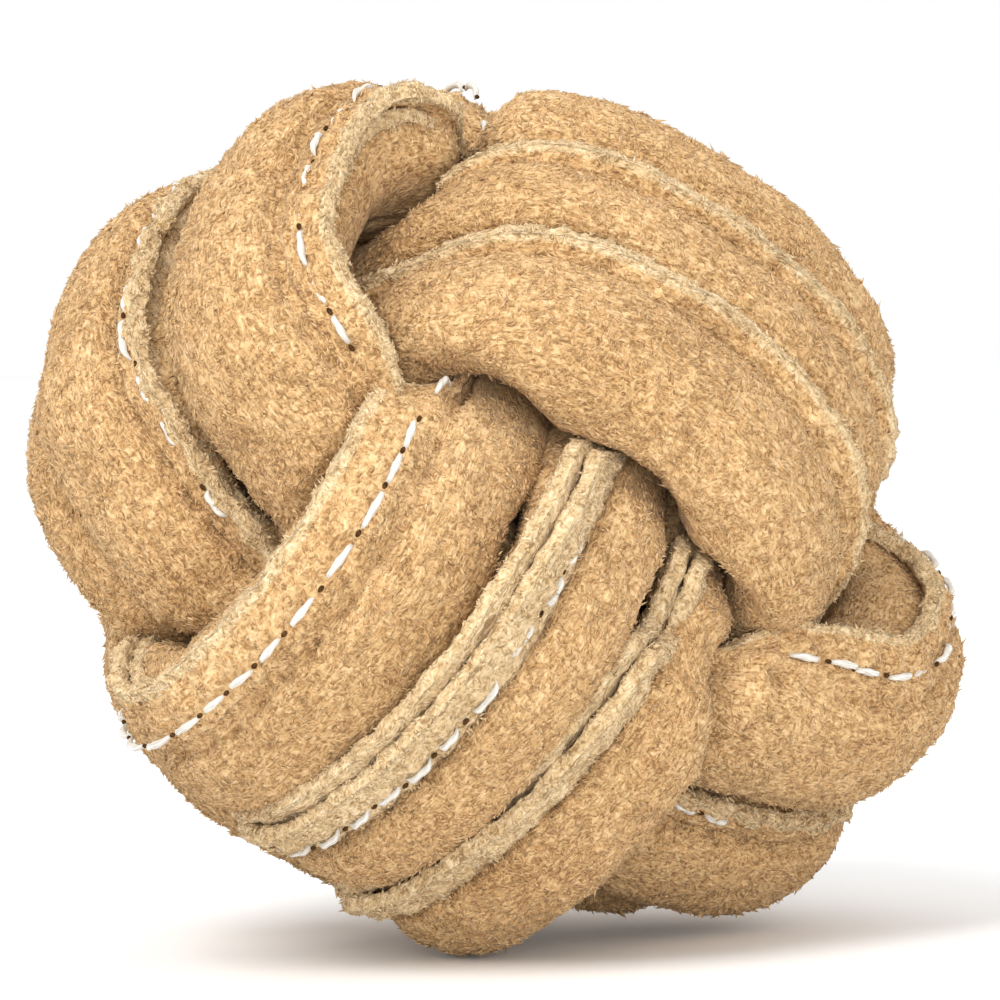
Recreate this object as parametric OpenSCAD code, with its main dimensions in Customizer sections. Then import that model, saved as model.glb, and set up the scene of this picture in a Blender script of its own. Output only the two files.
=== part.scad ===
// Suede knot ball: three groups of three stuffed leather tubes, woven over and under each other
// round a ball of stuffing. Every tube is a closed turn, a rectangle with round corners. Its two
// short runs lie outside one group, and its two long runs pass under the other group.
// Origin at the centre of the ball, +Z up, with the ball standing on three of its outer turns and
// the middle of the c group facing -Y. Millimetres.

/* [Weave] */
// Distance between neighbouring tubes, which sets the whole size of the ball
tube_pitch = 13.8; // [12:0.1:20]

/* [Tubes] */
// Outside diameter of a tube as a share of the pitch
tube_fullness = 0.985; // [0.9:0.005:0.99]
// Thickness of the leather
leather_t = 1.4; // [1:0.1:1.6]

/* [Seams] */
// How far the flat seam allowance of an edge tube stands out sideways
flange_w = 4; // [2:0.5:5]
// Width of the gap between the two leather edges of a seam
seam_gap = 0.2; // [0.1:0.05:0.4]
// Length of one stitch
stitch_l = 3; // [2:0.1:4]
// Distance from one stitch to the next, before it is rounded to fill a run evenly
stitch_pitch = 5; // [4.5:0.1:8]
// Diameter of the thread
thread_d = 0.7; // [0.4:0.1:0.9]

/* [Filling] */
// Gap between the core ball and the tubes round it
core_gap = 0.3; // [0.1:0.1:2]
// Gap between the leather and the filling of a tube
fill_gap = 0.1; // [0.05:0.05:0.5]

/* [Hidden] */

$fn = 48;
tube_r = tube_pitch * tube_fullness / 2;
suede_colour = "#d7af78";
edge_suede_colour = "#dcb985";
filling_colour = "#e8e2d4";
thread_colour = "#f4efe2";

// Round tubes pack without a gap when the outer runs lie three pitches from the centre, the
// under runs two pitches, and each corner bends round the edge tube that it passes.
outer_reach = 3 * tube_pitch;
under_reach = 2 * tube_pitch;
bend_r = tube_pitch;
outer_run_l = 2 * tube_pitch;
under_run_l = 4 * tube_pitch;
core_d = 2 * (under_reach - tube_r - core_gap);

// The front group's long axis dips below the horizon by the angle between a cube's edge and the
// plane across its diagonal, because the ball stands on the corner where three groups meet.
corner_dip = asin(1 / sqrt(3));
C_GROUP = 0;
A_GROUP = -120;
B_GROUP = 120;

// A standing seam fills the valley beside its tube, no higher than the tube itself, and its
// outer face lies on the plane halfway to the next tube.
fin_t = 2 * leather_t + seam_gap;
fin_side = tube_pitch / 2 - fin_t / 2;
fin_foot = tube_r * 0.35;
fin_top = tube_r;

// Turn 1 is the edge turn, on the side that every seam of its group points to.
EDGE_TURN = 1;

// Where each of the four bends has its centre, and the angle that it starts at.
BENDS = [
    [[under_reach, bend_r], 0],
    [[-under_reach, bend_r], 90],
    [[-under_reach, -bend_r], 180],
    [[under_reach, -bend_r], 270],
];

module place_turn(group_angle, i) {
    rotate([0, 0, group_angle])
        rotate([45, corner_dip, -90])
            translate([0, 0, (2 - i) * tube_pitch])
                children();
}

// Sweeps a section along two opposite straight runs. In the section, x points away from the
// centre of the ball and y along the row of tubes, towards the seams.
module two_runs(start_angle, reach, length) {
    for (half_turn = [0, 180])
        rotate(start_angle + half_turn)
            translate([reach, 0, 0])
                rotate([90, 0, 0])
                    linear_extrude(length, center = true)
                        children();
}

module four_bends() {
    for (bend = BENDS)
        translate(bend[0])
            rotate(bend[1])
                rotate_extrude(angle = 90)
                    translate([bend_r, 0])
                        children();
}

module outer_runs() {
    two_runs(0, outer_reach, outer_run_l)
        children();
}

module under_runs() {
    two_runs(90, under_reach, under_run_l)
        children();
}

module whole_turn() {
    outer_runs()
        children();
    under_runs()
        children();
    four_bends()
        children();
}

// Stitches on two opposite straight runs, on one line of the section.
module run_stitches(start_angle, reach, length, out, side) {
    count = floor(length / stitch_pitch);
    step = length / count;
    for (half_turn = [0, 180], n = [0:count - 1])
        rotate(start_angle + half_turn)
            translate([reach + out, (n + 0.5) * step - length / 2, side])
                rotate([90, 0, 0])
                    cylinder(d = thread_d, h = stitch_l, center = true, $fn = 16);
}

// Stitches round the four bends, on one line of the section.
module bend_stitches(out, side) {
    line_r = bend_r + out;
    count = floor(line_r * PI / 2 / stitch_pitch);
    step = 90 / count;
    sweep = stitch_l / line_r * 180 / PI;
    for (bend = BENDS, n = [0:count - 1])
        translate(bend[0])
            rotate(bend[1] + (n + 0.5) * step - sweep / 2)
                rotate_extrude(angle = sweep)
                    translate([line_r, side])
                        circle(d = thread_d, $fn = 16);
}

module tube_section() {
    difference() {
        circle(r = tube_r);
        circle(r = tube_r - leather_t);
    }
}

module standing_fin_section() {
    difference() {
        translate([fin_foot, fin_side - fin_t / 2])
            square([fin_top - fin_foot, fin_t]);
        translate([fin_foot + leather_t, fin_side - seam_gap / 2])
            square([fin_top - fin_foot, seam_gap]);
        circle(r = tube_r - leather_t);
    }
}

module flange_section() {
    difference() {
        translate([-fin_t / 2, tube_r - leather_t])
            square([fin_t, flange_w + leather_t]);
        translate([-seam_gap / 2, tube_r])
            square([seam_gap, flange_w + leather_t]);
        circle(r = tube_r - leather_t);
    }
}

module core_ball() {
    color(filling_colour)
        sphere(d = core_d, $fn = 96);
}

module cover(group_angle, i) {
    color(i == EDGE_TURN ? edge_suede_colour : suede_colour)
        place_turn(group_angle, i) {
            if (i == EDGE_TURN) {
                outer_runs() {
                    tube_section();
                    flange_section();
                }
                four_bends() {
                    tube_section();
                    flange_section();
                }
                under_runs()
                    tube_section();
            } else {
                whole_turn() {
                    tube_section();
                    standing_fin_section();
                }
            }
        }
}

module filling(group_angle, i) {
    color(filling_colour)
        place_turn(group_angle, i)
            whole_turn()
                circle(r = tube_r - leather_t - fill_gap);
}

module seam_thread(group_angle, i) {
    flange_out = (fin_t + thread_d) / 2;
    flange_side = tube_r + flange_w / 2;
    fin_out = (fin_foot + fin_top) / 2;
    thread_side = fin_side + (fin_t + thread_d) / 2;
    color(thread_colour)
        place_turn(group_angle, i) {
            if (i == EDGE_TURN) {
                run_stitches(0, outer_reach, outer_run_l, flange_out, flange_side);
                bend_stitches(flange_out, flange_side);
            } else {
                run_stitches(0, outer_reach, outer_run_l, fin_out, thread_side);
                run_stitches(90, under_reach, under_run_l, fin_out, thread_side);
                bend_stitches(fin_out, thread_side);
            }
        }
}

core_ball();
cover(C_GROUP, 1);  // cover_c1
cover(C_GROUP, 2);  // cover_c2
cover(C_GROUP, 3);  // cover_c3
cover(A_GROUP, 1);  // cover_a1
cover(A_GROUP, 2);  // cover_a2
cover(A_GROUP, 3);  // cover_a3
cover(B_GROUP, 1);  // cover_b1
cover(B_GROUP, 2);  // cover_b2
cover(B_GROUP, 3);  // cover_b3
filling(C_GROUP, 1);  // filling_c1
filling(C_GROUP, 2);  // filling_c2
filling(C_GROUP, 3);  // filling_c3
filling(A_GROUP, 1);  // filling_a1
filling(A_GROUP, 2);  // filling_a2
filling(A_GROUP, 3);  // filling_a3
filling(B_GROUP, 1);  // filling_b1
filling(B_GROUP, 2);  // filling_b2
filling(B_GROUP, 3);  // filling_b3
seam_thread(C_GROUP, 1);  // seam_thread_c1
seam_thread(C_GROUP, 2);  // seam_thread_c2
seam_thread(C_GROUP, 3);  // seam_thread_c3
seam_thread(A_GROUP, 1);  // seam_thread_a1
seam_thread(A_GROUP, 2);  // seam_thread_a2
seam_thread(A_GROUP, 3);  // seam_thread_a3
seam_thread(B_GROUP, 1);  // seam_thread_b1
seam_thread(B_GROUP, 2);  // seam_thread_b2
seam_thread(B_GROUP, 3);  // seam_thread_b3
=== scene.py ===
"""Suede knot ball: nine stuffed tubes of golden tan suede, woven three by three by three.

Lengths are millimetres until a mesh is made, and MM turns them into metres. Every tube is a closed
turn. Its section has two axes: out, away from the ball's centre, and side, along the row of
tubes towards the seams.
"""
import math

import bpy
import numpy as np
from mathutils import Matrix, Vector


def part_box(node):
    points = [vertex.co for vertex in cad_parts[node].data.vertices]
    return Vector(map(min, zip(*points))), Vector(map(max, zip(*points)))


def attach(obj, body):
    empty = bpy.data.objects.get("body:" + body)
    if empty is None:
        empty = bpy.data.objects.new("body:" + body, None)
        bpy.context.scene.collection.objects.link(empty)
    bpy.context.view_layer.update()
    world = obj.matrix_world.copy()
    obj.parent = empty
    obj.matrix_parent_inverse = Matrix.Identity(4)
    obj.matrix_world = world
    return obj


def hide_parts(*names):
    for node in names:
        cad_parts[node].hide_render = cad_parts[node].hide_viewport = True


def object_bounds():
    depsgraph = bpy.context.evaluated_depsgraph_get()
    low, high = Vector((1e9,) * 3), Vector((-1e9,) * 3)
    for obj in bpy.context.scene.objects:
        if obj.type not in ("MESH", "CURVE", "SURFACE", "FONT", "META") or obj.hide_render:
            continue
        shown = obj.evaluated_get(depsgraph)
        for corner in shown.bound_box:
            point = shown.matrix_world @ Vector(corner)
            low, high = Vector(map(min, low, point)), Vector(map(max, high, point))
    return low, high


MM = 0.001
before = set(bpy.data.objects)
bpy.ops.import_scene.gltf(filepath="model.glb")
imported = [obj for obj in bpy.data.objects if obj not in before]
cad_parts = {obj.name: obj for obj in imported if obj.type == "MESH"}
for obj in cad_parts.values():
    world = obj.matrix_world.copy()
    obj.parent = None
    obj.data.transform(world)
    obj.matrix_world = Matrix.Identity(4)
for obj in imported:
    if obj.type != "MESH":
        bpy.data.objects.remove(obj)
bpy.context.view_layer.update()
core_low, core_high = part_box("core_ball")
# The tubes squeeze the core ball a little smaller than its plain shape in the frame
CORE_SQUEEZE = 2
CORE_R = (core_high.z - core_low.z) / 2 / MM - CORE_SQUEEZE
SEED = 7

# ---------------------------------------------------------------- sizes

LEATHER_T = 1.8
STITCH_PITCH = 3.95
STITCH_L = 3.05
THREAD_R = 0.36
# Radius of the dark beads of painted shade that stand in for the shadow inside each needle hole
HOLE_SHADE_R = 0.26

# One row per turn. group: which way it runs. side: where its plane lies along the row. corners:
# how much further along the row each of its bends is pushed, at the upper and lower end of its
# fore run and then of its aft run. slip and shift: how far it has slipped along its long way and
# its short way. out and under: how far its middle is from its own centre where it lies outside
# and where it passes under. high and wide: its half sizes before it is pressed against its
# neighbours. seam: the angle of its seam from straight out, in degrees, and twist: how much more
# that is at the lower ends. lean: the angle of the seam's fin from straight out, roll: how much
# more that is at the lower ends and less at the upper ends, and fold: how much more on the fore
# run. fin: how far the fin stands out of the tube. tuck: how much lower its far leather edge is
# than its near one, and below 0 the whole fin shows raw leather. sunk: how deep its stitches are
# buried, and fore: how much deeper on the fore run.
COLUMNS = (
    "group", "side", "corners", "slip", "shift", "out", "under", "high", "wide",
    "seam", "twist", "lean", "roll", "fold", "fin", "tuck", "sunk", "fore",
)
TURN_TABLE = {
    "c1": (0, 16.4, (0, -1, 0, 0), 1.2, 0.2, 38.2, 22.8, 7.6, 10.8,
           47, 8, 112, 0, 0, 5, 0.7, 0.05, 0),
    "c2": (0, 0.3, (0, 1, 0, 0), 0, 1.6, 40, 24.7, 7.4, 9.2,
           34, 0, 60, 18, 0, 3.6, -1.2, 0.35, 0),
    "c3": (0, -13.6, (0, 0.5, 0, 0), 0, -0.6, 37.6, 24.2, 6.8, 8.4,
           44, 0, 46, 22, 0, 3.6, -0.8, 1.1, 0),
    "a1": (-120, 14.5, (0, 0, 0, 0), -0.6, 0.2, 36.4, 26.6, 7.4, 7.9,
           86, 0, 124, 0, 0, 3.6, 0, 0.4, 0),
    "a2": (-120, 0.8, (0, 0, 1, -1), 0, 0.6, 37.4, 27, 7.6, 7.8,
           50, 0, 26, 0, 0, 3, 1.2, 1.1, 0),
    "a3": (-120, -12.8, (0, 0, 2, -2), -1.4, 1.2, 33.4, 23, 8.4, 9.8,
           46, -22, 26, 10, 0, 3.2, 0.8, 0.8, 0),
    "b1": (120, 16.2, (-7, -1, 7, -4), 0.2, -3.4, 40.3, 22.4, 8.2, 10.6,
           79, 0, 112, 0, 36, 3.6, 2.2, 0.6, 0.7),
    "b2": (120, -4.4, (0, 0, 3.5, -3.5), 0.5, 0, 43, 25.5, 8.2, 9.6,
           60, 0, 84, 0, 0, 1.6, 1.3, 1, 0),
    "b3": (120, -16.6, (0, 0, 1.5, -1.5), -1, 1, 38, 22.6, 6.4, 6.6,
           60, 0, 50, 0, 0, 3, 0.8, 0.8, 0),
}
TURNS = {name: dict(zip(COLUMNS, row)) for name, row in TURN_TABLE.items()}

# How the ball stands: on the corner of the cube that the three groups make
CORNER_DIP = math.asin(1 / math.sqrt(3))

# The shape of a turn's path
UNDER_BOW_R = 70.0
BEND_R = 10.8
BEND_SMOOTHING = 1.6
WANDER, WANDER_SIZE = 0.45, 22
FORE_BLEND = 12
OUTSIDE_FROM, OUTSIDE_OVER = 15, 6

# How tubes press on each other, as shares of their own size
CONTACT_GAP = 0.012
CROSSING_GAP = 0.26
FIN_SQUEEZE = 0.9

# Seam fins and their stitches. A stitch is left out where the skin is dented or bulges by more
# than STITCH_DENT, or where its fin stands out less than STITCH_REACH.
FIN_ROOM = 1.9
LEAF_ROOT = 2.0
EDGE_ROUND = 0.35
CREASE_OFF, CREASE_WIDTH = 13.0, 8
STITCH_UP, LOW_STITCH_UP = 0.55, 0.15
STITCH_DENT = 0.8
STITCH_REACH = 0.5

# Clearances inside a cover
LINING_GAP = 0.5
FILLING_GAP = 0.7


# ---------------------------------------------------------------- small numeric tools

def turn_matrix(angle, axis):
    """Rotation about the x, y or z axis, which are 0, 1 and 2."""
    c, s = math.cos(angle), math.sin(angle)
    i, j = [(1, 2), (2, 0), (0, 1)][axis]
    m = np.eye(3)
    m[i, i] = m[j, j] = c
    m[i, j], m[j, i] = -s, s
    return m


def group_matrix(degrees):
    """From a turn's own axes, long way, short way and side, to the ball's axes."""
    return (
        turn_matrix(math.radians(degrees - 90), 2)
        @ turn_matrix(CORNER_DIP, 1)
        @ turn_matrix(math.radians(45), 0)
    )


def lattice_noise(points, size, seed):
    """Smooth noise from -1 to 1 over 3-D points, with features about size across."""
    p = points / size + 1000.0
    cell = np.floor(p).astype(np.int64)
    t = p - cell
    t = t * t * t * (t * (t * 6 - 15) + 10)
    total = 0.0
    for dx in (0, 1):
        for dy in (0, 1):
            for dz in (0, 1):
                h = (cell[..., 0] + dx) * 73856093
                h ^= (cell[..., 1] + dy) * 19349663
                h ^= (cell[..., 2] + dz) * 83492791
                h ^= seed * 2654435761
                h = (h ^ (h >> 13)) * 1274126177
                value = ((h ^ (h >> 16)) & 0xFFFF) / 32767.5 - 1.0
                wx = t[..., 0] if dx else 1 - t[..., 0]
                wy = t[..., 1] if dy else 1 - t[..., 1]
                wz = t[..., 2] if dz else 1 - t[..., 2]
                total = total + value * wx * wy * wz
    return total


def loop_noise(s, length, size, seed):
    """Smooth noise along a closed loop, so that it meets itself."""
    angle = 2 * math.pi * s / length
    r = length / (2 * math.pi)
    points = np.stack([r * np.cos(angle), r * np.sin(angle), np.full_like(angle, 3.7 * seed)], -1)
    return lattice_noise(points, size, SEED + seed)


def smooth_loop(values, sigma, axis=0):
    """Gaussian smoothing round a closed axis, sigma in samples."""
    n = values.shape[axis]
    f = np.fft.fft(values, axis=axis)
    k = np.fft.fftfreq(n) * 2 * math.pi
    w = np.exp(-0.5 * (k * sigma) ** 2)
    shape = [1] * values.ndim
    shape[axis] = n
    return np.fft.ifft(f * w.reshape(shape), axis=axis).real


def sample_loop(values, at, axis=0):
    """Cubic interpolation on a closed axis. at is in samples, and may have any length."""
    values = np.moveaxis(values, axis, 0)
    n = len(values)
    i = np.floor(at).astype(int)
    t = (at - i).reshape((-1,) + (1,) * (values.ndim - 1))
    a, b, c, d = (values[(i + k) % n] for k in (-1, 0, 1, 2))
    out = b + 0.5 * t * (c - a + t * (2 * a - 5 * b + 4 * c - d + t * (3 * (b - c) + d - a)))
    return np.moveaxis(out, 0, axis)


# ---------------------------------------------------------------- the paths of the nine turns

def oval(out, under, count):
    """Evenly spaced points on a closed oval of arcs, from the middle of a hidden long side."""
    ball = np.array([0.0, 0.0])
    bow = np.array([0.0, under - UNDER_BOW_R])
    from_ball, from_bow = out - BEND_R, UNDER_BOW_R - BEND_R
    apart = np.linalg.norm(bow - ball)
    along = (from_ball * from_ball - from_bow * from_bow + apart * apart) / (2 * apart)
    across = math.sqrt(from_ball * from_ball - along * along)
    ahead = (bow - ball) / apart
    bend = ball + along * ahead + across * np.array([-ahead[1], ahead[0]])
    bend[0] = abs(bend[0])
    bend_from = math.atan2(bend[1] - ball[1], bend[0] - ball[0])
    bend_to = math.atan2(bend[1] - bow[1], bend[0] - bow[0])
    arcs = [
        (ball, out, 0, bend_from),
        (bend, BEND_R, bend_from, bend_to),
        (bow, UNDER_BOW_R, bend_to, math.pi / 2),
    ]
    quarter = np.concatenate([
        centre + radius * np.stack([np.cos(t), np.sin(t)], 1)
        for centre, radius, lo, hi in arcs
        for t in [np.linspace(lo, hi, 400, endpoint=False)]
    ])
    corner = np.array([[0.0, under]])
    whole = np.concatenate([
        corner, (quarter * [-1, 1])[::-1], (quarter * [-1, -1])[1:],
        -corner, (quarter * [1, -1])[::-1], quarter[1:], corner,
    ])
    step = np.linalg.norm(np.diff(whole, axis=0), axis=1)
    s = np.concatenate([[0], np.cumsum(step)])
    even = np.linspace(0, s[-1], count, endpoint=False)
    return np.stack([np.interp(even, s, whole[:, k]) for k in (0, 1)], 1), s[-1]


PATH_COUNT = 960


class Path:
    """A turn's middle line, with the section's out and side directions along it.

    fore is 1 on the fore run and 0 on the aft run. outside is 1 where the turn lies outside the
    other groups and 0 where it passes under them. seam and lean are angles from straight out.
    """

    def __init__(self, turn, seed):
        points, self.length = oval(turn["out"], turn["under"], PATH_COUNT)
        points = smooth_loop(points, BEND_SMOOTHING / self.length * PATH_COUNT)
        s = np.arange(PATH_COUNT) * self.length / PATH_COUNT
        wander = WANDER * loop_noise(s, self.length, WANDER_SIZE, seed)
        self.fore = 0.5 + 0.5 * np.tanh(points[:, 0] / FORE_BLEND)
        upper = np.clip(points[:, 1], 0, None) / turn["under"]
        lower = np.clip(-points[:, 1], 0, None) / turn["under"]
        push = turn["corners"]
        skew = self.fore * (push[0] * upper + push[1] * lower)
        skew += (1 - self.fore) * (push[2] * upper + push[3] * lower)
        self.seam = turn["seam"] + turn["twist"] * lower
        self.lean = turn["lean"] + turn["roll"] * (lower - upper) + turn["fold"] * self.fore
        sideways = turn["side"] + skew + wander
        own = np.concatenate([points + [turn["slip"], turn["shift"]], sideways[:, None]], 1)
        m = group_matrix(turn["group"])
        self.middle = own @ m.T
        ahead = np.roll(points, -1, 0) - np.roll(points, 1, 0)
        ahead /= np.linalg.norm(ahead, axis=1)[:, None]
        out = np.stack([ahead[:, 1], -ahead[:, 0], np.zeros(PATH_COUNT)], 1)
        self.out = out @ m.T
        self.side = np.tile(m[:, 2], (PATH_COUNT, 1))
        self.outside = np.clip((np.abs(points[:, 0]) - OUTSIDE_FROM) / OUTSIDE_OVER, 0, 1)

    def at(self, s):
        """The middle, out and side at distances along the path."""
        i = s / self.length * PATH_COUNT
        return [sample_loop(v, i) for v in (self.middle, self.out, self.side)]

    def spaced(self, fine, coarse):
        """Distances along the path, fine apart where the turn shows and coarse where it's hidden."""
        step = coarse + (fine - coarse) * self.outside
        s = np.arange(PATH_COUNT + 1) * self.length / PATH_COUNT
        load = np.concatenate([[0], np.cumsum(self.length / PATH_COUNT / step)])
        count = int(load[-1])
        return np.interp(np.arange(count) * load[-1] / count, load, s)


PATHS = {name: Path(turn, k + 1) for k, (name, turn) in enumerate(TURNS.items())}


# ---------------------------------------------------------------- pressing the tubes together

RING_COUNT = 200
ROUND_COUNT = 48
NEAR_COUNT = 400


def mean_radius(turn):
    return (turn["high"] + turn["wide"]) / 2


def free_radius(turn, angle):
    """How far a tube's skin lies from its middle line before anything presses on it."""
    return 1 / np.sqrt((np.cos(angle) / turn["high"]) ** 2 + (np.sin(angle) / turn["wide"]) ** 2)


def along_path(name, key, s):
    """A value that a path holds, at distances along it."""
    return sample_loop(getattr(PATHS[name], key), s / PATHS[name].length * PATH_COUNT)


def section_ways(angle, out, side):
    """Directions from a tube's middle line, for rings of a path and angles of the section."""
    return np.cos(angle)[None, :, None] * out[:, None] + np.sin(angle)[None, :, None] * side[:, None]


def seam_frame(name, s):
    """Along a turn: its middle, the way from there to its seam, and the way up the seam's fin."""
    middle, out, side = PATHS[name].at(s)
    seam = np.radians(along_path(name, "seam", s))[:, None]
    lean = np.radians(along_path(name, "lean", s))[:, None]
    to_seam = np.cos(seam) * out + np.sin(seam) * side
    return middle, to_seam, np.cos(lean) * out + np.sin(lean) * side


def fin_line(name, s):
    """The middle line of a turn's seam fin, which its neighbours in the row make room for."""
    turn = TURNS[name]
    middle, to_seam, up_fin = seam_frame(name, s)
    root = free_radius(turn, np.radians(along_path(name, "seam", s))) * 0.9
    return middle + root[:, None] * to_seam + turn["fin"] * 0.5 * up_fin


def neighbour_points(name, lines, fins):
    """Points on the other tubes, and on the fins in the same row, each with its own size."""
    points, sizes = [], []
    for other, turn in TURNS.items():
        if other != name:
            crossing = turn["group"] != TURNS[name]["group"]
            points.append(lines[other][0])
            sizes.append(np.full(RING_COUNT, mean_radius(turn) * (1 + CROSSING_GAP * crossing)))
            if not crossing:
                points.append(fins[other])
                sizes.append(np.full(RING_COUNT, FIN_ROOM))
    return np.concatenate(points), np.concatenate(sizes)


def press_together():
    """How far each tube's skin lies from its middle line, once all nine push on one another.

    A tube grows along every direction of its section until it reaches its own free size, the
    core, or the place where it and a neighbour are equally squashed.
    """
    lines = {}
    fins = {}
    for name in TURNS:
        s = np.arange(RING_COUNT) * PATHS[name].length / RING_COUNT
        lines[name] = PATHS[name].at(s)
        fins[name] = fin_line(name, s)
    angle = np.arange(ROUND_COUNT) * 2 * math.pi / ROUND_COUNT
    skins = {}
    for name, turn in TURNS.items():
        middle, out, side = lines[name]
        way = section_ways(angle, out, side)
        free = np.tile(free_radius(turn, angle), (RING_COUNT, 1))
        points, sizes = neighbour_points(name, lines, fins)
        gaps = ((middle[:, None] - points[None]) ** 2).sum(2)
        near = np.argpartition(gaps, NEAR_COUNT, axis=1)[:, :NEAR_COUNT]
        points, sizes = points[near], sizes[near]
        low, high = 0.25 * free, free.copy()
        for _ in range(11):
            guess = (low + high) / 2
            at = middle[:, None] + guess[..., None] * way
            square = (at ** 2).sum(2)[..., None] + (points ** 2).sum(2)[:, None]
            square = square - 2 * at @ points.transpose(0, 2, 1)
            squash = (np.sqrt(np.maximum(square, 0)) / sizes[:, None]).min(2)
            fits = guess / free <= squash - CONTACT_GAP
            fits &= np.linalg.norm(at, axis=2) > CORE_R + 0.3
            low = np.where(fits, guess, low)
            high = np.where(fits, high, guess)
        skin = smooth_loop(low, 1.0, axis=0)
        skins[name] = smooth_loop(skin, 0.7, axis=1)
    return skins


SKINS = press_together()


def skin_at(name, s, angle):
    """The pressed skin on a grid of distances along the path and angles of the section."""
    grid = sample_loop(SKINS[name], s / PATHS[name].length * RING_COUNT, axis=0)
    return sample_loop(grid, angle / (2 * math.pi) * ROUND_COUNT, axis=1)


def root_on_rings(name, sigma):
    """How far a seam lies from the tube's middle line, smoothed to leave out small dents."""
    ring = np.arange(RING_COUNT)
    place = along_path(name, "seam", ring * PATHS[name].length / RING_COUNT) / 360 * ROUND_COUNT
    first = np.floor(place).astype(int)
    skin = SKINS[name]
    near, far = skin[ring, first % ROUND_COUNT], skin[ring, (first + 1) % ROUND_COUNT]
    return smooth_loop(near + (far - near) * (place - first), sigma)


def reach_on_rings(name):
    """How far a fin stands out along its turn: it is flattened where another group crosses it."""
    turn = TURNS[name]
    ring = np.arange(RING_COUNT) * PATHS[name].length / RING_COUNT
    middle, to_seam, up_fin = seam_frame(name, ring)
    root = middle + ROOTS[name][:, None] * to_seam
    reach = np.full(RING_COUNT, float(turn["fin"]))
    for step in np.linspace(turn["fin"], 0, 12):
        tip = root + (step + 0.3) * up_fin
        for other, other_turn in TURNS.items():
            if other_turn["group"] != turn["group"]:
                gap = np.sqrt(((tip[:, None] - PATHS[other].middle[None, ::4]) ** 2).sum(2).min(1))
                blocked = gap < FIN_SQUEEZE * mean_radius(other_turn)
                reach = np.where(blocked, np.minimum(reach, step - 0.6), reach)
    return smooth_loop(np.maximum(reach, -0.8), 1.5)


ROOTS = {turn_name: root_on_rings(turn_name, 4.5) for turn_name in TURNS}
DENTED_ROOTS = {turn_name: root_on_rings(turn_name, 1.0) for turn_name in TURNS}
REACHES = {turn_name: reach_on_rings(turn_name) for turn_name in TURNS}


def on_rings(values, name, s):
    """A value that ROOTS, DENTED_ROOTS or REACHES holds, at distances along a turn."""
    return sample_loop(values[name], s / PATHS[name].length * RING_COUNT)


# ---------------------------------------------------------------- meshes

def grid_uv(down, across):
    """Two coordinates for every point of a grid of rings."""
    return np.stack(np.broadcast_arrays(down[:, None], across[None]), -1)


class Parts:
    """Collects grids of vertices and faces that become one mesh."""

    def __init__(self):
        self.points, self.faces, self.slots, self.uvs = [], [], [], []
        self.count = 0

    def add_loops(self, points, slot, uv, closed=True, flip=False):
        """points[i, j] is a loop of rings. Rings always close, and the loop may."""
        n, m = points.shape[:2]
        rows = np.arange(n if closed else n - 1)
        i, j = np.meshgrid(rows, np.arange(m), indexing="ij")
        i2, j2 = (i + 1) % n, (j + 1) % m
        quads = np.stack([i * m + j, i2 * m + j, i2 * m + j2, i * m + j2], -1).reshape(-1, 4)
        if flip:
            quads = quads[:, ::-1]
        self.faces.append(quads + self.count)
        self.slots.append(np.broadcast_to(slot, (n, m))[rows].ravel())
        if not closed:
            first = np.arange(m) + self.count
            self.faces += [first[None], first[None, ::-1] + (n - 1) * m]
            self.slots += [np.broadcast_to(slot, (n, m))[0, :1]] * 2
        self.points.append(points.reshape(-1, 3))
        self.uvs.append(uv.reshape(-1, 2))
        self.count += n * m

    def add_spikes(self, feet, tips, slot, chance):
        """feet[k] holds three corners, tips[k] the tip, and chance[k] the shade of spike k."""
        n = len(tips)
        first = self.count + np.arange(n)[:, None, None] * 4
        corners = np.array([[0, 3, 1], [1, 3, 2], [2, 3, 0], [0, 1, 2]])
        self.faces.append((first + corners[None]).reshape(-1, 3))
        self.slots.append(np.broadcast_to(slot, 4 * n))
        self.points.append(np.concatenate([feet, tips[:, None]], 1).reshape(-1, 3))
        height = np.array([0.0, 0.0, 0.0, 1.0])
        self.uvs.append(grid_uv(chance, height).reshape(-1, 2))
        self.count += 4 * n

    def make(self, name, materials):
        """One object from all that was added, in metres."""
        points = np.concatenate(self.points) * MM
        slots = np.concatenate(self.slots)
        corners = np.concatenate([faces.ravel() for faces in self.faces])
        corner_count = np.concatenate([np.full(len(faces), faces.shape[1]) for faces in self.faces])
        mesh = bpy.data.meshes.new(name)
        mesh.vertices.add(len(points))
        mesh.vertices.foreach_set("co", points.astype(np.float32).ravel())
        mesh.loops.add(len(corners))
        mesh.loops.foreach_set("vertex_index", corners.astype(np.int32))
        mesh.polygons.add(len(slots))
        starts = np.concatenate([[0], np.cumsum(corner_count)[:-1]])
        mesh.polygons.foreach_set("loop_start", starts.astype(np.int32))
        mesh.polygons.foreach_set("material_index", slots.astype(np.int32))
        mesh.update(calc_edges=True)
        uv = mesh.uv_layers.new(name="tube_mm")
        uv.data.foreach_set("uv", np.concatenate(self.uvs)[corners].astype(np.float32).ravel())
        mesh.polygons.foreach_set("use_smooth", np.full(len(slots), True))
        for material in materials:
            mesh.materials.append(material)
        piece = bpy.data.objects.new(name, mesh)
        bpy.context.scene.collection.objects.link(piece)
        return piece


def grid_normals(points):
    """Outward normals of a closed grid of rings."""
    along = np.roll(points, -1, 0) - np.roll(points, 1, 0)
    round_ = np.roll(points, -1, 1) - np.roll(points, 1, 1)
    n = np.cross(along, round_)
    return n / np.maximum(np.linalg.norm(n, axis=2), 1e-9)[..., None]


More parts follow.
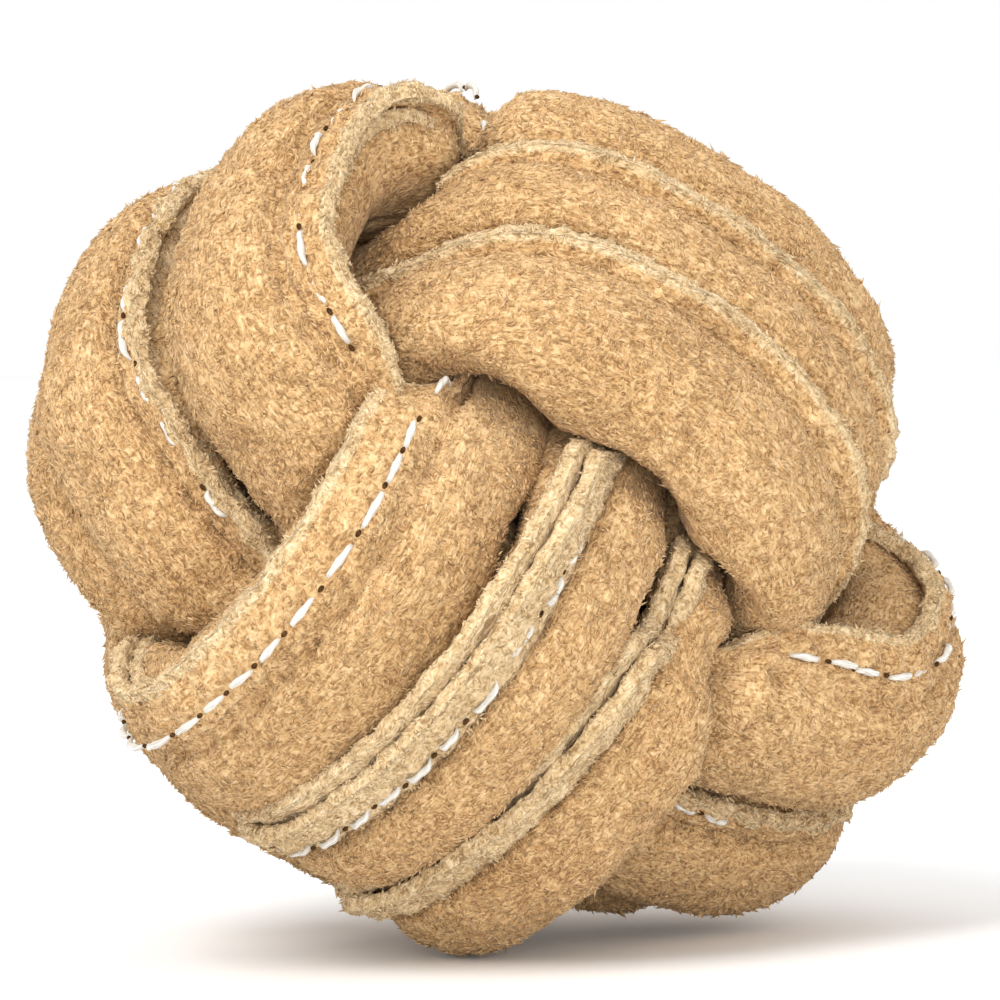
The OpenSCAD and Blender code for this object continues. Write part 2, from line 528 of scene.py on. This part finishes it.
def round_angles(fine, coarse, radius):
    """Angles round a section, close together on its outer side, which shows."""
    dense = np.linspace(-math.pi, math.pi, 721)
    shown = np.clip((np.cos(dense) + 0.45) / 0.35, 0, 1)
    load = np.concatenate([[0], np.cumsum(1 / (coarse + (fine - coarse) * shown[:-1]))])
    count = int(load[-1] * 2 * math.pi / 720 * radius)
    return np.interp(np.arange(count) * load[-1] / count, load, dense)


# The fifth slot is painted shade: near-black beads that stand in for the shadow inside the needle holes
SKIN_SLOT, EDGE_SLOT, LINING_SLOT, NAP_SLOT, HOLE_SHADE_SLOT, EDGE_NAP_SLOT = 0, 1, 2, 3, 4, 5
NAP_ON_BODY, BODY_NAP_L = 18000, 0.78
NAP_ON_LEAF, LEAF_NAP_L = 3600, 0.6


def nap(points, seed):
    """Height of the matted nap, in millimetres."""
    warp = np.stack([lattice_noise(points, 1.9, seed + k) for k in (11, 12, 13)], -1) * 0.8
    height = 0.42 * (0.4 - np.abs(lattice_noise(points + warp, 1.5, seed + 14)))
    return height + 0.1 * lattice_noise(points, 0.9, seed + 15)


def dents(points, seed):
    """Height of the soft dents and lumps of the filling, in millimetres."""
    return 0.34 * lattice_noise(points, 9, seed + 21) + 0.16 * lattice_noise(points, 4.5, seed + 22)


def stitch_count(name):
    return int(PATHS[name].length / STITCH_PITCH)


def stitch_wave(name, s):
    """1 at a needle hole, 0 in the middle of a stitch."""
    return 0.5 + 0.5 * np.cos(2 * math.pi * s / PATHS[name].length * stitch_count(name))


def body_grid(name, s, angle, seed):
    """The tube's outer skin, creased along both sides of its seam by the stitches."""
    middle, out, side = PATHS[name].at(s)
    radius = skin_at(name, s, angle)
    off = np.degrees(angle)[None] - along_path(name, "seam", s)[:, None]
    near_depth = 1.1 + 0.7 * stitch_wave(name, s)[:, None]
    near = np.exp(-(((off + CREASE_OFF) / CREASE_WIDTH) ** 2)) * near_depth
    far = np.exp(-(((off - CREASE_OFF) / CREASE_WIDTH) ** 2)) * 0.6
    radius = radius - near - far
    points = middle[:, None] + radius[..., None] * section_ways(angle, out, side)
    height = dents(points, seed) + nap(points, seed)
    return points + grid_normals(points) * height[..., None]


def unit(vectors):
    """The same directions with length 1."""
    return vectors / np.maximum(np.linalg.norm(vectors, axis=-1), 1e-9)[..., None]


def add_nap(parts, points, shown, count, length, seed, slots=None):
    """Matted fibres lying on a grid of skin. They are pale where the skin's slot is a raw edge."""
    rng = np.random.default_rng(seed)
    n, m = points.shape[:2]
    along = np.roll(points, -1, 0) - points
    round_ = np.roll(points, -1, 1) - points
    area = np.linalg.norm(np.cross(along, round_), axis=2) * shown
    cell = rng.choice(n * m, size=count, p=(area / area.sum()).ravel())
    i, j = np.divmod(cell, m)
    normal = grid_normals(points)[i, j]
    a, b = along[i, j], round_[i, j]
    root = points[i, j] + rng.random((count, 1)) * a + rng.random((count, 1)) * b
    heading = 5.0 * lattice_noise(root, 5, seed + 41) + rng.normal(0, 0.6, count)
    across = unit(np.cross(normal, a))
    lie = np.cos(heading)[:, None] * unit(a) + np.sin(heading)[:, None] * across
    beside = np.cross(normal, lie)
    long = (length * rng.uniform(0.55, 1.4, count))[:, None]
    thick = rng.uniform(0.15, 0.3, count)[:, None]
    lift = rng.uniform(0.05, 0.42, count)[:, None]
    feet = np.stack([
        root - 0.1 * normal + thick * (math.cos(k) * beside + math.sin(k) * normal)
        for k in (math.pi / 2, -math.pi / 6, -5 * math.pi / 6)
    ], 1)
    tips = root + long * (lie + rng.normal(0, 0.25, (count, 1)) * beside + lift * normal)
    raw = np.zeros(count, bool) if slots is None else slots[j] == EDGE_SLOT
    spike_slots = np.repeat(np.where(raw, EDGE_NAP_SLOT, NAP_SLOT), 4)
    parts.add_spikes(feet, tips, spike_slots, rng.random(count))


def leaf_outline(length, thick):
    """Half-open section of one leather edge: along, across, and the slot of each point."""
    r = EDGE_ROUND
    tip = [
        (length - r + r * math.cos(a), math.copysign(thick / 2 - r, a) + r * math.sin(a))
        for a in np.radians(np.linspace(-90, 90, 8))
    ]
    sides = np.linspace(0, length - r, 8)[:-1]
    outline = [(x, -thick / 2) for x in sides] + tip + [(x, thick / 2) for x in sides[::-1]]
    slots = [SKIN_SLOT] * 6 + [EDGE_SLOT] * 9 + [SKIN_SLOT] * 7
    return np.array(outline), np.array(slots)


def leaf_grid(name, s, which, seed):
    """One of a seam fin's two leather edges: -1 is the one that carries the stitches, 1 the other."""
    turn = TURNS[name]
    path = PATHS[name]
    _, out, side = path.at(s)
    middle, to_seam, _ = seam_frame(name, s)
    lean = fin_lean(name, s, seed)
    splay = 0.02 + 0.035 * loop_noise(s, path.length, 6, seed + 32)
    lean_leaf = lean + which * splay
    long_way = np.cos(lean_leaf)[:, None] * out + np.sin(lean_leaf)[:, None] * side
    across = -np.sin(lean_leaf)[:, None] * out + np.cos(lean_leaf)[:, None] * side
    start = middle + (on_rings(ROOTS, name, s) - LEAF_ROOT)[:, None] * to_seam
    start = start + which * (LEATHER_T / 2 + 0.03) * across
    outline, slots = leaf_outline(turn["fin"] + LEAF_ROOT, LEATHER_T)
    if turn["tuck"] < 0:
        slots = np.full(len(outline), EDGE_SLOT)
    reach = on_rings(REACHES, name, s) + LEAF_ROOT - (turn["tuck"] if which > 0 else 0)
    uneven = 0.07 * loop_noise(s, path.length, 7, seed + 33 + which)
    uneven += 0.035 * loop_noise(s, path.length, 2.2, seed + 36 + which)
    stretch = reach / (turn["fin"] + LEAF_ROOT) * (1 + uneven)
    points = (
        start[:, None]
        + outline[None, :, 0, None] * stretch[:, None, None] * long_way[:, None]
        + outline[None, :, 1, None] * across[:, None]
    )
    puff = 0.7 * np.exp(-((outline[:, 0] - LEAF_ROOT - 0.9) ** 2)) * (outline[:, 1] * which > 0)
    puff = (1 - stitch_wave(name, s))[:, None] * puff[None]
    points = points + which * puff[..., None] * across[:, None]
    rough = 0.28 * lattice_noise(points, 0.9, seed + 34) + 0.26 * lattice_noise(points, 2.2, seed + 35)
    return points + grid_normals(points) * rough[..., None], outline, slots


def fin_lean(name, s, seed):
    """The fin's angle from straight out along its turn, uneven as a hand-sewn seam is."""
    wobble = 6 * loop_noise(s, PATHS[name].length, 13, seed + 31)
    return np.radians(along_path(name, "lean", s) + wobble)


def stitch_frame(name, s, seed):
    """Points on the stitching line, with the directions up the fin and through its leather."""
    _, out, side = PATHS[name].at(s)
    middle, to_seam, _ = seam_frame(name, s)
    lean = fin_lean(name, s, seed)[:, None]
    up_fin = np.cos(lean) * out + np.sin(lean) * side
    through = -np.sin(lean) * out + np.cos(lean) * side
    root = on_rings(ROOTS, name, s) - 1.6 * np.clip(1.2 - on_rings(REACHES, name, s), 0, 2)
    height = STITCH_UP if TURNS[name]["tuck"] >= 0 else LOW_STITCH_UP
    foot = middle + root[:, None] * to_seam + height * up_fin
    return foot - LEATHER_T * through, up_fin, through


def stitch_depth(name, s, seed):
    """How deep each stitch is buried in the nap, deeper where the fin is flattened."""
    turn = TURNS[name]
    uneven = np.random.default_rng(seed).uniform(0.1, 1.9, len(s))
    deep = turn["sunk"] + turn["fore"] * along_path(name, "fore", s)
    flat = np.clip(1.6 - on_rings(REACHES, name, s), 0, 2)
    return (0.08 + deep) * uneven + flat


def stitch_seen(name, s):
    """Whether each stitch is there, and not left out at a dent or where the fin is flattened."""
    dent = on_rings(ROOTS, name, s) - on_rings(DENTED_ROOTS, name, s)
    return (np.abs(dent) < STITCH_DENT) & (on_rings(REACHES, name, s) > STITCH_REACH)


def add_hole_shade(parts, name, seed):
    """Painted shade in the needle holes between the stitches: small dark beads almost sunk in the leather,
    standing in for the shadow inside each hole.
    """
    count = stitch_count(name)
    s = np.arange(count) * PATHS[name].length / count
    foot, up_fin, through = stitch_frame(name, s, seed)
    depth = stitch_depth(name, s, seed)
    along = np.cross(up_fin, through)
    polar = np.linspace(0.3, math.pi - 0.3, 5)[:, None, None]
    turn = np.arange(8)[None, :, None] * 2 * math.pi / 8
    for k in np.flatnonzero(stitch_seen(name, s)):
        centre = foot[k] + (depth[k] + 0.1) * through[k]
        ball = (
            np.cos(polar) * up_fin[k]
            + np.sin(polar) * (np.cos(turn) * 0.9 * through[k] - np.sin(turn) * 1.7 * along[k])
        )
        parts.add_loops(centre + HOLE_SHADE_R * ball, HOLE_SHADE_SLOT, np.zeros((5, 8, 2)), closed=False)


def add_lining(parts, name, s, radius):
    """The inner side of a cover's leather."""
    angle = np.linspace(-math.pi, math.pi, 32, endpoint=False)
    middle, out, side = PATHS[name].at(s)
    inner = skin_at(name, s, angle) - LEATHER_T - LINING_GAP
    points = middle[:, None] + inner[..., None] * section_ways(angle, out, side)
    parts.add_loops(points, LINING_SLOT, grid_uv(s, angle * radius), flip=True)


def make_cover(name, k, materials):
    """A tube's leather: its skin, nap, lining, the two edges of its seam fin and dark beads of painted shade
    in its needle holes.
    """
    path = PATHS[name]
    seed = SEED + 100 * (k + 1)
    parts = Parts()
    radius = mean_radius(TURNS[name])
    s = path.spaced(0.48, 1.6)
    angle = round_angles(0.5, 1.2, radius)
    points = body_grid(name, s, angle, seed)
    parts.add_loops(points, SKIN_SLOT, grid_uv(s, angle * radius))
    outside = sample_loop(path.outside, s / path.length * PATH_COUNT).clip(0, 1)
    shown = outside[:, None] * np.clip((np.cos(angle) + 0.4) / 0.2, 0, 1)[None]
    add_nap(parts, points, shown, NAP_ON_BODY, BODY_NAP_L, seed)
    add_lining(parts, name, s[::4], radius)
    for which in (-1, 1):
        points, outline, slots = leaf_grid(name, s, which, seed)
        place = np.arange(len(outline))
        uv = grid_uv(s, 40 + 10 * which + place * 0.5)
        parts.add_loops(points, np.tile(slots, (len(s), 1)), uv)
        bare = place < len(outline) / 2 + 3
        bare = bare if which < 0 else bare[::-1]
        shown = outside[:, None] * bare[None]
        add_nap(parts, points, shown, NAP_ON_LEAF, LEAF_NAP_L, seed + which + 5, slots)
    add_hole_shade(parts, name, seed)
    piece = parts.make("suede_" + name, materials)
    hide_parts("cover_" + name)
    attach(piece, "root")


def make_filling(name, material):
    """The soft stuffing inside a tube."""
    path = PATHS[name]
    parts = Parts()
    s = np.linspace(0, path.length, 160, endpoint=False)
    angle = np.linspace(-math.pi, math.pi, 20, endpoint=False)
    middle, out, side = path.at(s)
    radius = skin_at(name, s, angle) - LEATHER_T - FILLING_GAP
    points = middle[:, None] + radius[..., None] * section_ways(angle, out, side)
    parts.add_loops(points, 0, grid_uv(s, angle * 5))
    piece = parts.make("stuffing_" + name, [material])
    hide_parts("filling_" + name)
    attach(piece, "root")


def make_core(material):
    """The packed, slightly lumpy ball of stuffing inside the knot."""
    parts = Parts()
    rings, sides = 48, 64
    polar = np.linspace(0.04, math.pi - 0.04, rings)[:, None]
    turn = -np.arange(sides)[None] * 2 * math.pi / sides
    ball = np.stack(np.broadcast_arrays(
        np.sin(polar) * np.cos(turn), np.sin(polar) * np.sin(turn), np.cos(polar)), -1)
    radius = CORE_R - 0.4 + 0.3 * lattice_noise(ball * CORE_R, 6, SEED)
    parts.add_loops(ball * radius[..., None], 0, ball[..., :2] * CORE_R, closed=False)
    piece = parts.make("core_stuffing", [material])
    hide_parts("core_ball")
    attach(piece, "root")


def make_stitches(name, k, material):
    """A running stitch along the seam: short lengths of two-ply thread between needle holes."""
    path = PATHS[name]
    seed = SEED + 100 * (k + 1)
    parts = Parts()
    count = stitch_count(name)
    rings, sides = 13, 10
    t = np.linspace(-1, 1, rings)
    a = np.arange(sides) * 2 * math.pi / sides
    taper = np.sqrt(np.clip(1 - np.abs(t) ** 5 * 0.9, 0, 1))
    lift = 0.22 - 0.75 * np.abs(t) ** 6
    ply = 1 + 0.16 * np.cos(2 * a[None] - 5.5 * t[:, None])
    r = THREAD_R * taper[:, None] * ply
    rng = np.random.default_rng(seed + 9)
    middles = (np.arange(count) + 0.5) * path.length / count
    depth = stitch_depth(name, middles, seed)
    for n in np.flatnonzero(stitch_seen(name, middles)):
        s = middles[n] + t * STITCH_L / 2 * rng.uniform(0.8, 1.08)
        foot, up_fin, through = stitch_frame(name, s, seed)
        centre = foot + (depth[n] - lift)[:, None] * through
        centre = centre + (rng.uniform(-0.2, 0.2) * t + rng.uniform(-0.1, 0.1))[:, None] * up_fin
        ring = centre[:, None] + r[..., None] * (
            np.cos(a)[None, :, None] * up_fin[:, None] + np.sin(a)[None, :, None] * through[:, None]
        )
        parts.add_loops(ring, 0, grid_uv(s, a), closed=False)
    piece = parts.make("stitches_" + name, [material])
    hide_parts("seam_thread_" + name)
    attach(piece, "root")


# ---------------------------------------------------------------- materials

def node(tree, kind, inputs=None, **settings):
    """A new node, with its inputs set to a value or linked to another node's output."""
    n = tree.nodes.new(kind)
    for key, value in settings.items():
        setattr(n, key, value)
    for key, value in (inputs or {}).items():
        if isinstance(value, bpy.types.NodeSocket):
            tree.links.new(value, n.inputs[key])
        else:
            n.inputs[key].default_value = value
    return n


def new_material(name):
    material = bpy.data.materials.new(name)
    material.use_nodes = True
    tree = material.node_tree
    tree.nodes.clear()
    shader = tree.nodes.new("ShaderNodeBsdfPrincipled")
    output = tree.nodes.new("ShaderNodeOutputMaterial")
    tree.links.new(shader.outputs[0], output.inputs[0])
    return material, tree, shader


def ramp(tree, factor, stops):
    """A colour ramp. Its last stop may lie between the first two."""
    r = node(tree, "ShaderNodeValToRGB", {"Fac": factor})
    for k, (place, colour) in enumerate(stops):
        stop = r.color_ramp.elements[k] if k < 2 else r.color_ramp.elements.new(place)
        stop.position = place
        stop.color = (*colour, 1)
    return r.outputs[0]


def maths(tree, operation, a, b=0.0, c=0.0):
    m = node(tree, "ShaderNodeMath", operation=operation)
    for key, value in enumerate((a, b, c)):
        if isinstance(value, bpy.types.NodeSocket):
            tree.links.new(value, m.inputs[key])
        else:
            m.inputs[key].default_value = value
    return m.outputs[0]


def noise(tree, coordinates, scale, detail, **inputs):
    """Noise from 0 to 1, finer as scale grows."""
    inputs = {"Vector": coordinates, "Scale": scale, "Detail": detail, **inputs}
    return node(tree, "ShaderNodeTexNoise", inputs).outputs["Fac"]


def bump(tree, shader, height, strength, distance):
    raised = node(tree, "ShaderNodeBump", {"Height": height, "Strength": strength, "Distance": distance * MM})
    tree.links.new(raised.outputs[0], shader.inputs["Normal"])


def add_sheen(shader):
    """The pale bloom that a napped surface has at a shallow angle."""
    shader.inputs["Sheen Weight"].default_value = 0.15
    shader.inputs["Sheen Roughness"].default_value = 0.45
    shader.inputs["Sheen Tint"].default_value = (1.0, 0.90, 0.76, 1)


def fibres(tree, coordinates, across, along, degrees):
    """Stretched noise, from 0 to 1, that looks like short hairs lying one way."""
    place = node(tree, "ShaderNodeMapping", {"Vector": coordinates})
    place.inputs["Rotation"].default_value = (0, 0, math.radians(degrees))
    place.inputs["Scale"].default_value = (1 / along, 1 / across, 1)
    return noise(tree, place.outputs[0], 1.0, 2.0, Roughness=0.55, Distortion=0.6)


def mix_value(tree, factor, a, b):
    m = node(tree, "ShaderNodeMix", data_type="FLOAT", clamp_factor=True)
    for key, value in ((0, factor), (2, a), (3, b)):
        tree.links.new(value, m.inputs[key])
    return m.outputs[0]


def suede_material(name, dark, middle, light, strength=1.0):
    """Napped split leather: curled hairs that lie in different ways in different patches."""
    material, tree, shader = new_material(name)
    uv = node(tree, "ShaderNodeUVMap", uv_map="tube_mm").outputs[0]
    body = node(tree, "ShaderNodeTexCoord").outputs["Object"]
    patches = noise(tree, body, 260.0, 1.0)
    blotches = noise(tree, body, 75.0, 3.0, Roughness=0.6)
    layers = [fibres(tree, uv, 0.32, 1.05, angle) for angle in (12, 74, 133)]
    choose = maths(tree, "MULTIPLY_ADD", patches, 3.2, -1.1)
    first = mix_value(tree, choose, layers[0], layers[1])
    choose = maths(tree, "MULTIPLY_ADD", patches, -5.0, 3.2)
    hairs = mix_value(tree, choose, first, layers[2])
    tufts = noise(tree, body, 1150.0, 2.0, Distortion=1.6)
    height = maths(tree, "MULTIPLY_ADD", hairs, 0.5, maths(tree, "MULTIPLY", tufts, 0.5))
    tone = maths(tree, "MULTIPLY_ADD", blotches, 0.22, maths(tree, "SUBTRACT", height, 0.11))
    colour = ramp(tree, tone, [(0.38, dark), (0.62, light), (0.47, middle)])
    tree.links.new(colour, shader.inputs["Base Color"])
    shader.inputs["Roughness"].default_value = 0.92
    shader.inputs["Specular IOR Level"].default_value = 0.18
    add_sheen(shader)
    bump(tree, shader, height, strength, 0.75)
    return material


def nap_material(name, dark, middle, light):
    """Single fibres: each its own shade, dark at the root and pale at the tip."""
    material, tree, shader = new_material(name)
    uv = node(tree, "ShaderNodeUVMap", uv_map="tube_mm").outputs[0]
    parts = node(tree, "ShaderNodeSeparateXYZ", {"Vector": uv})
    height = maths(tree, "MULTIPLY", parts.outputs["Y"], 0.5)
    tone = maths(tree, "MULTIPLY_ADD", parts.outputs["X"], 0.5, height)
    colour = ramp(tree, tone, [(0.05, dark), (0.9, light), (0.45, middle)])
    tree.links.new(colour, shader.inputs["Base Color"])
    shader.inputs["Roughness"].default_value = 0.9
    shader.inputs["Specular IOR Level"].default_value = 0.15
    add_sheen(shader)
    return material


# Painted shade: a near-black brown that stands in for the shadow inside each needle hole
def hole_shade_material():
    material, tree, shader = new_material("needle_hole_painted_shade")
    body = node(tree, "ShaderNodeTexCoord").outputs["Object"]
    shade = noise(tree, body, 2500.0, 2.0)
    colour = ramp(tree, shade, [(0.3, (0.03, 0.015, 0.006)), (0.7, (0.10, 0.05, 0.02))])
    tree.links.new(colour, shader.inputs["Base Color"])
    shader.inputs["Roughness"].default_value = 1.0
    shader.inputs["Specular IOR Level"].default_value = 0.0
    return material


def thread_material():
    material, tree, shader = new_material("white_thread")
    uv = node(tree, "ShaderNodeUVMap", uv_map="tube_mm").outputs[0]
    twist = fibres(tree, uv, 0.25, 1.6, 35)
    colour = ramp(tree, twist, [(0.36, (0.46, 0.42, 0.36)), (0.58, (0.74, 0.72, 0.67))])
    tree.links.new(colour, shader.inputs["Base Color"])
    shader.inputs["Roughness"].default_value = 0.7
    bump(tree, shader, twist, 0.5, 0.1)
    return material


def stuffing_material():
    material, tree, shader = new_material("fibre_stuffing")
    body = node(tree, "ShaderNodeTexCoord").outputs["Object"]
    fluff = noise(tree, body, 900.0, 4.0, Distortion=1.5)
    colour = ramp(tree, fluff, [(0.3, (0.52, 0.47, 0.38)), (0.7, (0.84, 0.80, 0.70))])
    tree.links.new(colour, shader.inputs["Base Color"])
    shader.inputs["Roughness"].default_value = 1.0
    bump(tree, shader, fluff, 0.8, 0.6)
    return material


def floor_material():
    material, tree, shader = new_material("white_studio_sweep")
    body = node(tree, "ShaderNodeTexCoord").outputs["Object"]
    shade = noise(tree, body, 3.0, 2.0)
    colour = ramp(tree, shade, [(0.3, (0.90, 0.90, 0.90)), (0.7, (0.93, 0.93, 0.93))])
    tree.links.new(colour, shader.inputs["Base Color"])
    shader.inputs["Roughness"].default_value = 0.9
    shader.inputs["Specular IOR Level"].default_value = 0.1
    return material


# ---------------------------------------------------------------- camera, light and floor

CAMERA_AZIMUTH = 10.7
CAMERA_ELEVATION = 2.4
CAMERA_ROLL = 1.6
CAMERA_DISTANCE = 700.0
AIM_RIGHT, AIM_UP = 1.6, 2.75
LENS = 238.6
FLOOR_R, FLOOR_RISE = 6000, 9000
LIGHT_COLOUR = (1.0, 0.99, 0.97)


def make_camera():
    az, el = math.radians(CAMERA_AZIMUTH), math.radians(CAMERA_ELEVATION)
    toward = np.array([math.sin(az) * math.cos(el), -math.cos(az) * math.cos(el), math.sin(el)])
    right = np.array([math.cos(az), math.sin(az), 0.0])
    up = np.cross(toward, right)
    roll = math.radians(CAMERA_ROLL)
    c, s = math.cos(roll), math.sin(roll)
    right, up = c * right - s * up, c * up + s * right
    place = toward * CAMERA_DISTANCE + right * AIM_RIGHT + up * AIM_UP
    data = bpy.data.cameras.new("camera")
    data.lens = LENS
    data.sensor_width = 36
    data.clip_start = 0.01
    camera = bpy.data.objects.new("camera", data)
    camera.rotation_euler = Matrix(np.stack([right, up, toward], 1).tolist()).to_euler()
    camera.location = place * MM
    bpy.context.scene.collection.objects.link(camera)
    bpy.context.scene.camera = camera


def area_light(name, place, size, power):
    """A round soft light aimed at the ball, with its place and size in metres."""
    data = bpy.data.lights.new(name, "AREA")
    data.shape = "DISK"
    data.size = size
    data.energy = power
    data.color = LIGHT_COLOUR
    light = bpy.data.objects.new(name, data)
    light.location = place
    bpy.context.scene.collection.objects.link(light)
    light.rotation_euler = (-Vector(place)).to_track_quat("-Z", "Y").to_euler()


def make_floor(low, material):
    """A white sweep: flat under the ball and curving up far behind and all round."""
    rings, sides = 40, 64
    t = np.linspace(0, 1, rings)[:, None]
    a = np.arange(sides)[None] * 2 * math.pi / sides
    radius = 10 + FLOOR_R * t
    rise = low / MM + FLOOR_RISE * np.clip(t - 0.5, 0, None) ** 2
    points = np.stack(np.broadcast_arrays(radius * np.cos(a), radius * np.sin(a), rise), -1)
    parts = Parts()
    parts.add_loops(points, 0, points[..., :2], closed=False)
    # The last face would close the sweep's outer rim like a lid
    parts.faces.pop()
    parts.slots.pop()
    parts.make("studio_floor", [material])


def make_light():
    world = bpy.data.worlds.new("studio")
    bpy.context.scene.world = world
    world.use_nodes = True
    back = world.node_tree.nodes["Background"]
    back.inputs[0].default_value = (1, 1, 1, 1)
    back.inputs[1].default_value = 1.1
    area_light("key", (-0.35, -0.75, 0.9), 0.7, 8.5)
    area_light("fill", (0.4, -1.05, -0.02), 0.8, 10)


# ---------------------------------------------------------------- the scene

# Dark, middle and light tones
TAN = ((0.26, 0.14, 0.055), (0.50, 0.30, 0.13), (0.76, 0.53, 0.28))
RAW_EDGE = ((0.32, 0.20, 0.09), (0.58, 0.41, 0.215), (0.80, 0.63, 0.40))
FLESH_SIDE = ((0.36, 0.24, 0.13), (0.60, 0.43, 0.25), (0.78, 0.61, 0.42))
TAN_NAP = ((0.30, 0.165, 0.065), (0.55, 0.34, 0.155), (0.78, 0.55, 0.30))
RAW_EDGE_NAP = ((0.38, 0.25, 0.12), (0.60, 0.43, 0.235), (0.82, 0.65, 0.42))

make_camera()
tan = suede_material("golden_tan_suede", *TAN)
edge = suede_material("raw_suede_edge", *RAW_EDGE, strength=1.2)
lining = suede_material("suede_flesh_side", *FLESH_SIDE, strength=0.5)
tan_nap = nap_material("golden_tan_nap", *TAN_NAP)
edge_nap = nap_material("raw_edge_nap", *RAW_EDGE_NAP)
# Painted shade for the needle holes
hole = hole_shade_material()
thread = thread_material()
stuffing = stuffing_material()
for index, turn_name in enumerate(TURNS):
    make_cover(turn_name, index, [tan, edge, lining, tan_nap, hole, edge_nap])
    make_filling(turn_name, stuffing)
    make_stitches(turn_name, index, thread)
make_core(stuffing)

bpy.context.scene.view_settings.view_transform = "Standard"
make_light()
visual_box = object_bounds()
make_floor(visual_box[0][2], floor_material())
